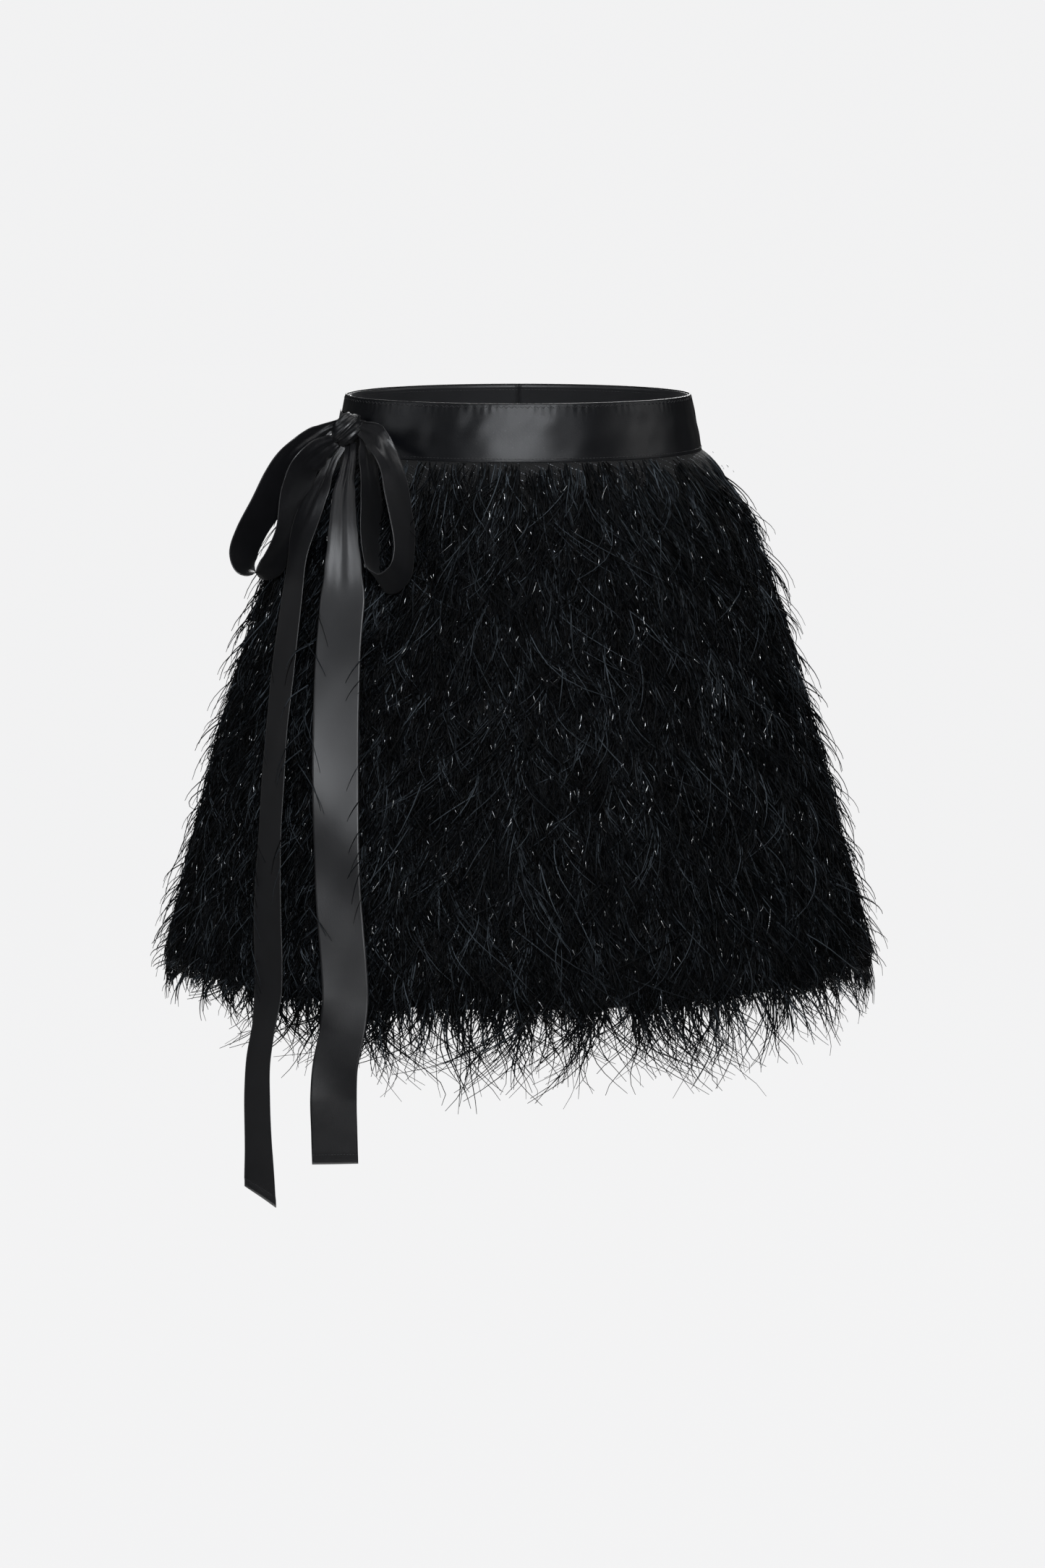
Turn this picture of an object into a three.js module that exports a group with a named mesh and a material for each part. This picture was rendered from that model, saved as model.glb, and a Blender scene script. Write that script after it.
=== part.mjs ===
// A feathery eyelash-yarn mini skirt with a satin waistband that ties in a side bow.
// Millimetres, +Z up, front of the wearer towards -Y. The origin is the centre of the waist opening,
// level with the waistband's top edge, where the wearer's waist holds the skirt up.
import * as THREE from "three";

// Driving dimensions.
const WAIST_HALF_WIDTH = 128; // inner face of the waistband at its top edge, side to side
const WAIST_HALF_DEPTH = 93; // the same, front to back
const BAND_HEIGHT = 42;
const BAND_FLARE = 0.21; // outward growth of the band for each millimetre of height
const SKIRT_LENGTH = 430; // waistband top to cloth hem
const HEM_HALF_WIDTH = 264;
const HEM_HALF_DEPTH = 190;
const FLARE_POWER = 0.74; // below 1 the skirt springs out at the hip and runs straighter below
const FRINGE_LENGTH = 48;

// Cloth thicknesses, from the body outwards.
const FACING = 0.6;
const INTERLINING = 0.6;
const BAND_SATIN = 0.8;
const LINING = 0.6;
const BASE_CLOTH = 1.2;
const PILE_AT_SEAM = 6.5; // yarn pile right below the waistband seam
const PILE = 14; // yarn pile where it is full
const PILE_RAMP = 0.15; // share of the skirt's height over which the pile gets full
const UNDERLAP_CLOTH = 1.8;

// The tie ribbons and the bow.
const RIBBON_WIDTH = 34;
const RIBBON_THICKNESS = 1.6;
const RIBBON_AT_KNOT = 8; // gathered width where a tail leaves the knot
const RIBBON_GATHER = 80; // height over which a tail opens to its full width
const KNOT_RADIUS = 10;
const KNOT_WRAP = 2.6; // thickness of the turns round the knot
const KNOT_COVER = 1.13; // radians from the middle that each turn covers
const KNOT_TILT = -0.785; // radians the turns lean from level
const KNOT_HEIGHT = -22;
const KNOT_ANGLE = 210;
const TIE_STRAP = 1.5;
const TIE_STRAP_WIDTH = 22;
const LEFT_TAIL_END = -580;
const RIGHT_TAIL_END = -545;
const LEFT_TAIL_START = 206; // angle round the skirt at the knot
const LEFT_TAIL_HEM = 229; // the same at the hem
const TAIL_LEAN = 0.8; // below 1 a tail leans forward sooner
const TAIL_SPACE_AT_KNOT = 3; // between the two tails
const TAIL_SPACE_AT_HEM = 29;
const LEFT_TAIL_ROOT = -4.5; // sideways from the knot's centre
const RIGHT_TAIL_ROOT = 4;
const LOOP_WIDTH = 34;
const LOOP_AT_KNOT = 9;
const LOOP_OPENS_BY = 0.7; // the smaller, the sooner a loop opens to its full width
const LOOP_ROOT_RISE = 3; // a loop's two ends leave the knot this far above and below its centre
const LEFT_LOOP_FORWARD = 12; // how far in front of the knot's centre the left loop hangs
const RIGHT_LOOP_FORWARD = 5; // how far in front of the knot's centre the right loop leaves it
const LOOP_SETTLES = 0.8; // share of its width from the knot at which the right loop lies on the pile

// Layout.
const GAP = 0.3; // between faces that touch
const SEAM = 0.3; // between neighbouring panels at a seam
const RIBBON_CLEARANCE = 2.5; // between the pile and a ribbon that lies on it
const RIGHT_LOOP_CLEARANCE = 5; // between the pile and the right loop's near edge
const LOOP_TAIL_SPACE = 1; // between the right tail's widest edge and the right loop
const KNOT_CLEARANCE = 0.2; // between the knot and a tail that swings about it
const LOOP_CLEARANCE = 0.5; // between the knot's side and a loop
const ROOT_LEAD = 3; // straight run of a ribbon as it leaves the knot
const LINING_END = 0.95; // share of the skirt's height that is lined
const ROWS = [0, 0.06, 0.15, 0.3, 0.5, 0.75, LINING_END, 1];
const ARC_STEP = 10; // degrees of arc for one facet
const TAIL_STEPS = 22;
const LOOP_STEPS = 26;
const TAIL_LIES_AT = [0.03, 0.07, 0.13, 0.22, 0.36, 0.55, 0.78, 1]; // shares of the skirt's height

// Angles round the waist, in degrees. Left and right are as seen from the front: 0 is the right side
// (+X), 90 the centre back, 180 the left side (-X), where the bow ties, and 270 the centre front.
const RIGHT_SIDE = 0;
const CENTRE_BACK = 90;
const LEFT_SIDE = 180;
const RIGHT_SIDE_AGAIN = 360;
const UNDERLAP_END = 240;
const TIE_STRAP_START = 183;
const TIE_STRAP_STEP = 3; // finer than the band's own facets, so that it lies outside them

const SATIN = { color: 0x15151a, roughness: 0.38, metalness: 0 };
const SATIN_INSIDE = { color: 0x101014, roughness: 0.5, metalness: 0 };
const KNIT = { color: 0x0c0e10, roughness: 0.85, metalness: 0 };
const YARN = { color: 0x14191c, roughness: 0.7, metalness: 0 };
const PLAIN = { color: 0x0b0b0d, roughness: 0.8, metalness: 0 };

const skirt = new THREE.Group();

function add(name, geometry, finish) {
  const mesh = new THREE.Mesh(geometry, new THREE.MeshStandardMaterial(finish));
  mesh.name = name;
  skirt.add(mesh);
  return mesh;
}

// Semi-axes of the skirt's inner surface at a height.
function girth(z) {
  const seamWidth = WAIST_HALF_WIDTH + BAND_FLARE * BAND_HEIGHT;
  const seamDepth = WAIST_HALF_DEPTH + BAND_FLARE * BAND_HEIGHT;
  if (z > -BAND_HEIGHT) {
    return { a: WAIST_HALF_WIDTH - BAND_FLARE * z, b: WAIST_HALF_DEPTH - BAND_FLARE * z };
  }
  const drop = (-z - BAND_HEIGHT) / (SKIRT_LENGTH - BAND_HEIGHT);
  const grown = Math.pow(drop, FLARE_POWER);
  return {
    a: seamWidth + (HEM_HALF_WIDTH - seamWidth) * grown,
    b: seamDepth + (HEM_HALF_DEPTH - seamDepth) * grown,
  };
}

// Level normal of the skirt at an angle and height.
function outward(degrees, z) {
  const { a, b } = girth(z);
  const t = THREE.MathUtils.degToRad(degrees);
  return new THREE.Vector3(Math.cos(t) / a, Math.sin(t) / b, 0).normalize();
}

// Point at an angle, a height and a distance outside the inner surface.
function onSkirt(degrees, z, offset) {
  const { a, b } = girth(z);
  const t = THREE.MathUtils.degToRad(degrees);
  const base = new THREE.Vector3(a * Math.cos(t), b * Math.sin(t), z);
  return base.addScaledVector(outward(degrees, z), offset);
}

// Distance round the skirt for each radian, at an angle and height.
function arcSpeed(degrees, z) {
  const { a, b } = girth(z);
  const t = THREE.MathUtils.degToRad(degrees);
  return Math.hypot(a * Math.sin(t), b * Math.cos(t));
}

// Half a seam's gap, as an angle.
function seamAngle(degrees, z) {
  return THREE.MathUtils.radToDeg(SEAM / 2 / arcSpeed(degrees, z));
}

// Remaps a unit box, vertex by vertex: place(across, along, through) takes shares of 0 to 1.
function remapBox(acrossSteps, alongSteps, place) {
  const geometry = new THREE.BoxGeometry(1, 1, 1, acrossSteps, alongSteps, 1);
  const points = geometry.getAttribute("position");
  for (let i = 0; i < points.count; i += 1) {
    const spot = place(points.getX(i) + 0.5, points.getY(i) + 0.5, points.getZ(i) + 0.5);
    points.setXYZ(i, spot.x, spot.y, spot.z);
  }
  geometry.computeVertexNormals();
  return geometry;
}

// A curved panel from one angle to another over a list of heights, top first.
// inner and outer give its two faces' offsets at a height.
function panel(from, to, heights, inner, outer, arcStep = ARC_STEP) {
  const steps = Math.round((to - from) / arcStep);
  const rows = heights.length - 1;
  return remapBox(steps, rows, (across, along, through) => {
    const z = heights[Math.round((1 - along) * rows)];
    const start = from + seamAngle(from, z);
    const end = to - seamAngle(to, z);
    const angle = start + (end - start) * across;
    return onSkirt(angle, z, through < 0.5 ? inner(z) : outer(z));
  });
}

const always = (value) => () => value;
const skirtTop = -BAND_HEIGHT - GAP;
const rowHeight = (share) => skirtTop - share * (SKIRT_LENGTH + skirtTop);
const skirtRows = ROWS.map(rowHeight);
const liningRows = ROWS.filter((share) => share <= LINING_END).map(rowHeight);
const bandRows = [0, -BAND_HEIGHT];
const fringeRows = [-SKIRT_LENGTH - GAP, -SKIRT_LENGTH - FRINGE_LENGTH];

const sections = [
  { name: "front", from: LEFT_SIDE, to: RIGHT_SIDE_AGAIN },
  { name: "back_left", from: CENTRE_BACK, to: LEFT_SIDE },
  { name: "back_right", from: RIGHT_SIDE, to: CENTRE_BACK },
];

// Waistband: facing, interlining and satin, one of each in every section.
const interliningFace = FACING + GAP;
const satinFace = interliningFace + INTERLINING + GAP;
const bandOutside = satinFace + BAND_SATIN;

for (const { name, from, to } of sections) {
  const facing = panel(from, to, bandRows, always(0), always(FACING));
  add(`waistband_facing_${name}`, facing, SATIN_INSIDE);
  const stiffener = panel(from, to, bandRows, always(interliningFace), always(interliningFace + INTERLINING));
  add(`waistband_interlining_${name}`, stiffener, PLAIN);
  const satin = panel(from, to, bandRows, always(satinFace), always(bandOutside));
  add(`waistband_satin_${name}`, satin, SATIN);
}

// Skirt: lining, knitted base cloth, yarn pile and the fringe of yarn below the hem.
const baseFace = LINING + GAP;
const pileFace = baseFace + BASE_CLOTH + GAP;

function pileDepth(z) {
  const drop = (-z - BAND_HEIGHT) / (SKIRT_LENGTH - BAND_HEIGHT);
  return PILE_AT_SEAM + (PILE - PILE_AT_SEAM) * Math.min(1, drop / PILE_RAMP);
}

const pileOutside = (z) => pileFace + pileDepth(z);

for (const { name, from, to } of sections) {
  add(`lining_${name}`, panel(from, to, liningRows, always(0), always(LINING)), PLAIN);
  const base = panel(from, to, skirtRows, always(baseFace), always(baseFace + BASE_CLOTH));
  add(`base_cloth_${name}`, base, KNIT);
  add(`yarn_pile_${name}`, panel(from, to, skirtRows, always(pileFace), pileOutside), YARN);
  add(`hem_fringe_${name}`, panel(from, to, fringeRows, always(baseFace), pileOutside), YARN);
}

// The underlap of the wrap: the back left section runs on beneath the front one.
const underlapInner = -GAP - UNDERLAP_CLOTH;
const underlapBand = panel(LEFT_SIDE, UNDERLAP_END, bandRows, always(underlapInner), always(-GAP));
add("underlap_waistband", underlapBand, SATIN_INSIDE);
const underlapSkirt = panel(LEFT_SIDE, UNDERLAP_END, liningRows, always(underlapInner), always(-GAP));
add("underlap_skirt", underlapSkirt, KNIT);

// Knot: a gathered core with two leaning turns round it, standing on the tie strap.
const strapFace = bandOutside + GAP;
const knotStandOff = strapFace + TIE_STRAP + GAP + KNOT_RADIUS;
const knotCentre = onSkirt(KNOT_ANGLE, KNOT_HEIGHT, knotStandOff);
const coreRadius = KNOT_RADIUS - KNOT_WRAP - GAP;

const strapHalf = TIE_STRAP_WIDTH / 2;
const strapRows = [KNOT_HEIGHT + strapHalf, KNOT_HEIGHT - strapHalf];
const strapFaces = [always(strapFace), always(strapFace + TIE_STRAP)];
const strapEnd = KNOT_ANGLE + TIE_STRAP_STEP;
add("tie_strap", panel(TIE_STRAP_START, strapEnd, strapRows, ...strapFaces, TIE_STRAP_STEP), SATIN);

const core = new THREE.SphereGeometry(coreRadius, 14, 10);
add("knot_core", core, SATIN).position.copy(knotCentre);

// One turn round the knot: a shell round the core, from the middle to KNOT_COVER on one side of it.
function knotTurn(side) {
  const start = GAP / 2 / KNOT_RADIUS;
  const arcPoint = (radius, share) => {
    const angle = start + (KNOT_COVER - start) * share;
    return new THREE.Vector2(radius * Math.cos(angle), radius * Math.sin(angle));
  };
  const shares = [0, 1 / 3, 2 / 3, 1];
  const outside = shares.map((share) => arcPoint(KNOT_RADIUS, share));
  const inside = shares.map((share) => arcPoint(coreRadius + GAP, 1 - share));
  const ring = new THREE.LatheGeometry([...outside, ...inside, outside[0]], 20);
  ring.rotateX(Math.PI / 2);
  if (side < 0) {
    ring.rotateX(Math.PI);
  }
  ring.rotateY(KNOT_TILT);
  return ring;
}

add("knot_turn_upper", knotTurn(1), SATIN).position.copy(knotCentre);
add("knot_turn_lower", knotTurn(-1), SATIN).position.copy(knotCentre);

// A flat ribbon along a curve. acrossAt(centre) is its width direction, widthAt(centre, share) its width.
function ribbon(curve, steps, acrossAt, widthAt) {
  return remapBox(1, steps, (across, along, through) => {
    const centre = curve.getPointAt(along);
    const direction = curve.getTangentAt(along);
    const raw = acrossAt(centre);
    const sideways = raw.addScaledVector(direction, -raw.dot(direction)).normalize();
    const face = new THREE.Vector3().crossVectors(sideways, direction);
    const width = widthAt(centre, along);
    centre.addScaledVector(sideways, (across - 0.5) * width);
    return centre.addScaledVector(face, (through - 0.5) * RIBBON_THICKNESS);
  });
}

const fromKnot = (x, y, z) => knotCentre.clone().add(new THREE.Vector3(x, y, z));
const smoothCurve = (points) => new THREE.CatmullRomCurve3(points, false, "centripetal");

// The two tails. A tail leaves the knot downwards, opens from its gathered root to its full width,
// lies on the pile, leaning forward on its way down, and hangs straight below the fringe.
const tailRootHeight = knotCentre.z - KNOT_RADIUS - KNOT_CLEARANCE;
const fringeEnd = -SKIRT_LENGTH - FRINGE_LENGTH;
const ribbonOffset = RIBBON_CLEARANCE + RIBBON_THICKNESS / 2;

function tailWidth(z) {
  const opened = THREE.MathUtils.clamp((tailRootHeight - z) / RIBBON_GATHER, 0, 1);
  return RIBBON_AT_KNOT + (RIBBON_WIDTH - RIBBON_AT_KNOT) * opened;
}

function tailDrop(z) {
  return THREE.MathUtils.clamp((z - KNOT_HEIGHT) / (-SKIRT_LENGTH - KNOT_HEIGHT), 0, 1);
}

function leftTailAngle(z) {
  return LEFT_TAIL_START + (LEFT_TAIL_HEM - LEFT_TAIL_START) * Math.pow(tailDrop(z), TAIL_LEAN);
}

// The right tail lies beside the left one, with a space between them that grows downwards.
function rightTailAngle(z) {
  const left = leftTailAngle(z);
  const space = TAIL_SPACE_AT_KNOT + (TAIL_SPACE_AT_HEM - TAIL_SPACE_AT_KNOT) * tailDrop(z);
  return left + THREE.MathUtils.radToDeg((tailWidth(z) + space) / arcSpeed(left, z));
}

function tailPoint(angleAt, z) {
  return onSkirt(angleAt(z), z, pileOutside(z) + ribbonOffset);
}

function tailGeometry(rootSide, angleAt, end) {
  const root = fromKnot(rootSide, 0, tailRootHeight - knotCentre.z);
  const lead = fromKnot(rootSide, 0, tailRootHeight - knotCentre.z - ROOT_LEAD);
  const points = [root, lead];
  for (const share of TAIL_LIES_AT) {
    points.push(tailPoint(angleAt, rowHeight(share)));
  }
  points.push(tailPoint(angleAt, fringeEnd));
  const last = points[points.length - 1].clone();
  last.z = end;
  points.push(last);
  const acrossAt = (centre) => {
    const normal = outward(angleAt(centre.z), centre.z);
    return new THREE.Vector3(-normal.y, normal.x, 0);
  };
  return ribbon(smoothCurve(points), TAIL_STEPS, acrossAt, (centre) => tailWidth(centre.z));
}

add("ribbon_tail_left", tailGeometry(LEFT_TAIL_ROOT, leftTailAngle, LEFT_TAIL_END), SATIN);
add("ribbon_tail_right", tailGeometry(RIGHT_TAIL_ROOT, rightTailAngle, RIGHT_TAIL_END), SATIN);

// Depth (y) of the pile's outside at a place seen from the front, and 0 beyond its side.
function pileFront(x, z) {
  const height = Math.min(z, skirtTop);
  const { a, b } = girth(height);
  const width = a + pileOutside(height);
  const depth = b + pileOutside(height);
  return -depth * Math.sqrt(Math.max(0, 1 - (x / width) ** 2));
}

const depthways = () => new THREE.Vector3(0, -1, 0);

function loopWidth(centre, share) {
  const opened = Math.min(1, Math.sin(Math.PI * share) / LOOP_OPENS_BY);
  return LOOP_AT_KNOT + (LOOP_WIDTH - LOOP_AT_KNOT) * opened;
}

// A loop leaves the knot straight, on one side, follows its bend and comes back below.
function loopGeometry(side, depth, bend) {
  const rootAt = (lead, rise) => fromKnot(side * (KNOT_RADIUS + LOOP_CLEARANCE + lead), depth, rise);
  const leaving = [rootAt(0, LOOP_ROOT_RISE), rootAt(ROOT_LEAD, LOOP_ROOT_RISE)];
  const returning = [rootAt(ROOT_LEAD, -LOOP_ROOT_RISE), rootAt(0, -LOOP_ROOT_RISE)];
  const curve = smoothCurve([...leaving, ...bend, ...returning]);
  return ribbon(curve, LOOP_STEPS, depthways, loopWidth);
}

// The left loop stands off the side of the skirt: down and outwards, round its bend and back to the knot.
// Its outline is seen from the front, measured from the knot's centre.
const leftLoopOutline = [
  [-38, -13],
  [-58, -48],
  [-71, -80],
  [-68, -99],
  [-59, -98],
  [-50, -72],
  [-42, -38],
  [-28, -13],
];
const leftLoopBend = leftLoopOutline.map(([x, z]) => {
  const spot = fromKnot(x, 0, z);
  const forward = LEFT_LOOP_FORWARD * Math.min(1, Math.hypot(x, z) / LOOP_WIDTH);
  const pile = pileFront(spot.x + RIBBON_CLEARANCE + RIBBON_THICKNESS, spot.z);
  const onPile = pile < 0 ? pile - LOOP_WIDTH / 2 : 0;
  spot.y = Math.min(knotCentre.y - forward, onPile);
  return spot;
});
add("bow_loop_left", loopGeometry(-1, 0, leftLoopBend), SATIN);

// The right tail's right edge at a height, seen from the front.
function rightTailEdge(z) {
  const angle = rightTailAngle(z);
  return tailPoint(rightTailAngle, z).x + (tailWidth(z) / 2) * Math.abs(outward(angle, z).y);
}

// The right loop droops on the front of the skirt, standing on the edge of its ribbon, beside the
// right tail. Its outline is seen from the front: x from the tail's edge, z from the knot's centre.
const rightLoopOutline = [
  [14, -8],
  [26, -34],
  [35, -72],
  [31, -100],
  [20, -106],
  [11, -92],
  [7, -66],
  [6, -38],
  [6, -17],
];
const rightLoopDrop = Math.min(...rightLoopOutline.map(([, z]) => z));
const tailEdges = TAIL_LIES_AT.map(rowHeight)
  .filter((z) => z > knotCentre.z + rightLoopDrop)
  .map(rightTailEdge);
const rightLoopStart = Math.max(knotCentre.x + KNOT_RADIUS, ...tailEdges) + LOOP_TAIL_SPACE;
const rightLoopBend = rightLoopOutline.map(([x, z]) => {
  const spot = new THREE.Vector3(rightLoopStart + x, knotCentre.y, knotCentre.z + z);
  const reach = Math.min(1, Math.hypot(spot.x - knotCentre.x, z) / LOOP_WIDTH);
  const resting = pileFront(spot.x, spot.z) - RIGHT_LOOP_CLEARANCE - (LOOP_WIDTH / 2) * reach;
  const settled = THREE.MathUtils.smoothstep(reach, 0, LOOP_SETTLES);
  spot.y = THREE.MathUtils.lerp(knotCentre.y - RIGHT_LOOP_FORWARD, resting, settled);
  return spot;
});
add("bow_loop_right", loopGeometry(1, -RIGHT_LOOP_FORWARD, rightLoopBend), SATIN);

export default skirt;
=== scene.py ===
"""A black mini skirt of long feathery yarn, with a satin waistband that ties at the side in a bow."""
import math

import bpy
import numpy as np
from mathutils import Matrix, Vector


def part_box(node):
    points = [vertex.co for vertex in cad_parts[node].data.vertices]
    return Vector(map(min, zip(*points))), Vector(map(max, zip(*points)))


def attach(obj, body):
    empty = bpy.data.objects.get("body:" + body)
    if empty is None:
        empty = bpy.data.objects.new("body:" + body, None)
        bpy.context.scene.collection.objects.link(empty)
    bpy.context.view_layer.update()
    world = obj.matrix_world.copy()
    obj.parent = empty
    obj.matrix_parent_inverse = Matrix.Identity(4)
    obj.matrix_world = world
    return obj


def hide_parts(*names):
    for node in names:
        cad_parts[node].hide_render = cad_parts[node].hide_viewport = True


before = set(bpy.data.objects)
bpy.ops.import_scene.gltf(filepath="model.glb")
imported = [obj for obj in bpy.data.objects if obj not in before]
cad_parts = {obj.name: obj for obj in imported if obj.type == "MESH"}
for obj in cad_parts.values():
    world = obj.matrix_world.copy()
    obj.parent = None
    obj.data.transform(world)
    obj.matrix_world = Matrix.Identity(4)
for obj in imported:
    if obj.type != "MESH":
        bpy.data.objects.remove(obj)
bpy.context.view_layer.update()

MM = 0.001
TAU = 2 * math.pi

# ---------------------------------------------------------------- the skirt's surface, from the frame


def node_box(name):
    low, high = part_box(name)
    return np.array(low), np.array(high)


facing_low, facing_high = node_box("waistband_facing_front")
base_low, base_high = node_box("base_cloth_front")
knot_low, knot_high = node_box("knot_core")

BAND_BOTTOM = float(facing_low[2])
HEM = float(base_low[2])
SEAM_GAP = 0.06 * MM
FACING_THICK = 0.6 * MM
BAND_OUTSIDE = 2.6 * MM  # outer face of the satin, from the band's inner face
BASE_FACE = 0.9 * MM  # inner face of the base cloth, from the lining's inner face
BASE_OUTSIDE = 2.1 * MM
PILE_OUTSIDE = 16.4 * MM
BAND_FLARE = 0.21
FLARE_POWER = 0.74
seam_width = float(facing_high[0]) - FACING_THICK
seam_depth = -float(facing_low[1]) - FACING_THICK
waist_width = seam_width + BAND_FLARE * BAND_BOTTOM
waist_depth = seam_depth + BAND_FLARE * BAND_BOTTOM
hem_width = float(base_high[0]) - BASE_OUTSIDE
hem_depth = -float(base_low[1]) - BASE_OUTSIDE
KNOT = (knot_low + knot_high) / 2

FRONT, BACK_LEFT, BACK_RIGHT = "front", "back_left", "back_right"
SECTIONS = {FRONT: (180.0, 360.0), BACK_LEFT: (90.0, 180.0), BACK_RIGHT: (0.0, 90.0)}
UNDERLAP = (180.0, 240.0)


def girth(z):
    """Half width and half depth of the skirt's inner face at heights z."""
    z = np.asarray(z, float)
    drop = np.clip((BAND_BOTTOM - z) / (BAND_BOTTOM - HEM), 0, None)
    grown = drop**FLARE_POWER
    below = z <= BAND_BOTTOM
    a = np.where(below, seam_width + (hem_width - seam_width) * grown, waist_width - BAND_FLARE * z)
    b = np.where(below, seam_depth + (hem_depth - seam_depth) * grown, waist_depth - BAND_FLARE * z)
    return a, b


def on_skirt(angle, z, offset):
    """Points at an angle (radians), a height and a distance outside the inner face."""
    a, b = girth(z)
    c, s = np.cos(angle), np.sin(angle)
    nx, ny = c / a, s / b
    length = np.hypot(nx, ny)
    x = a * c + offset * nx / length
    y = b * s + offset * ny / length
    return np.stack(np.broadcast_arrays(x, y, z), axis=-1)


def arc_speed(angle, z):
    a, b = girth(z)
    return np.hypot(a * np.sin(angle), b * np.cos(angle))


def outward(angle, z):
    a, b = girth(z)
    n = np.stack(np.broadcast_arrays(np.cos(angle) / a, np.sin(angle) / b, 0 * np.asarray(z)), axis=-1)
    return n / np.linalg.norm(n, axis=-1, keepdims=True)


# ---------------------------------------------------------------- mesh helpers


def unit(v):
    return v / np.maximum(np.linalg.norm(v, axis=-1, keepdims=True), 1e-12)


def smooth_noise(x, seed, octaves=3):
    """A smooth repeatable wobble of about -1 to 1 along numbers x."""
    rng = np.random.default_rng(seed)
    total = 0
    for k in range(octaves):
        total = total + np.sin(x * (k + 1) * rng.uniform(0.8, 1.25) + rng.uniform(0, TAU)) / (k + 1)
    return total / 1.6


def make_object(name, points, faces, material):
    mesh = bpy.data.meshes.new(name)
    mesh.from_pydata([tuple(p) for p in points], [], [tuple(f) for f in faces])
    obj = bpy.data.objects.new(name, mesh)
    bpy.context.scene.collection.objects.link(obj)
    mesh.materials.append(material)
    return obj


def fast_object(name, points, quads, triangles, material):
    """A mesh from numpy arrays, for pieces of many strands."""
    mesh = bpy.data.meshes.new(name)
    mesh.vertices.add(len(points))
    mesh.vertices.foreach_set("co", np.ascontiguousarray(points, np.float32).ravel())
    loops = np.concatenate([quads.ravel(), triangles.ravel()]).astype(np.int32)
    starts = np.concatenate([np.arange(len(quads)) * 4, len(quads) * 4 + np.arange(len(triangles)) * 3])
    mesh.loops.add(len(loops))
    mesh.loops.foreach_set("vertex_index", loops)
    mesh.polygons.add(len(starts))
    mesh.polygons.foreach_set("loop_start", starts.astype(np.int32))
    mesh.update(calc_edges=True)
    mesh.validate()
    mesh.materials.append(material)
    mesh.shade_smooth()
    obj = bpy.data.objects.new(name, mesh)
    bpy.context.scene.collection.objects.link(obj)
    return obj


def sheet_grid(name, grid, size, material, thickness):
    """A closed thin sheet round a grid of points, with a UV map in metres of the flat cloth."""
    rows, columns = grid.shape[:2]
    across = np.gradient(grid, axis=1)
    along = np.gradient(grid, axis=0)
    normal = unit(np.cross(across, along))
    front = grid + normal * thickness / 2
    back = grid - normal * thickness / 2
    points = np.concatenate([front.reshape(-1, 3), back.reshape(-1, 3)])
    index = np.arange(rows * columns).reshape(rows, columns)
    under = index + rows * columns
    top = np.stack([index[:-1, :-1], index[:-1, 1:], index[1:, 1:], index[1:, :-1]], -1).reshape(-1, 4)
    bottom = np.stack([under[:-1, :-1], under[1:, :-1], under[1:, 1:], under[:-1, 1:]], -1).reshape(-1, 4)
    rim = np.concatenate([index[0, :], index[1:, -1], index[-1, -2::-1], index[-2:0:-1, 0]])
    ahead = np.roll(rim, -1)
    shift = rows * columns
    edge = np.stack([rim, rim + shift, ahead + shift, ahead], -1)
    quads = np.concatenate([top, bottom, edge])
    obj = fast_object(name, points, quads, np.zeros((0, 3), int), material)
    u = np.linspace(0, size[0], columns)[None, :].repeat(rows, 0)
    v = np.linspace(0, size[1], rows)[:, None].repeat(columns, 1)
    flat = np.stack([u, v], -1).reshape(-1, 2)
    flat = np.concatenate([flat, flat])
    layer = obj.data.uv_layers.new(name="cloth")
    corner = np.zeros(len(obj.data.loops), np.int32)
    obj.data.loops.foreach_get("vertex_index", corner)
    layer.data.foreach_set("uv", flat[corner].astype(np.float32).ravel())
    return obj


def smooth_path(points, steps):
    """An even run of steps + 1 points along a smooth curve through the given points."""
    p = np.asarray(points, float)
    chord = np.linalg.norm(np.diff(p, axis=0), axis=1) ** 0.5
    t = np.concatenate([[0], np.cumsum(chord)])
    slope = np.gradient(p, t, axis=0)
    fine = np.linspace(0, t[-1], steps * 8 + 1)
    k = np.clip(np.searchsorted(t, fine, side="right") - 1, 0, len(t) - 2)
    h = (t[k + 1] - t[k])[:, None]
    s = ((fine - t[k]) / h[:, 0])[:, None]
    curve = (
        (2 * s**3 - 3 * s**2 + 1) * p[k]
        + (s**3 - 2 * s**2 + s) * h * slope[k]
        + (3 * s**2 - 2 * s**3) * p[k + 1]
        + (s**3 - s**2) * h * slope[k + 1]
    )
    run = np.concatenate([[0], np.cumsum(np.linalg.norm(np.diff(curve, axis=0), axis=1))])
    even = np.linspace(0, run[-1], steps + 1)
    return np.stack([np.interp(even, run, curve[:, i]) for i in range(3)], -1), float(run[-1])


# ---------------------------------------------------------------- materials


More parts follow.
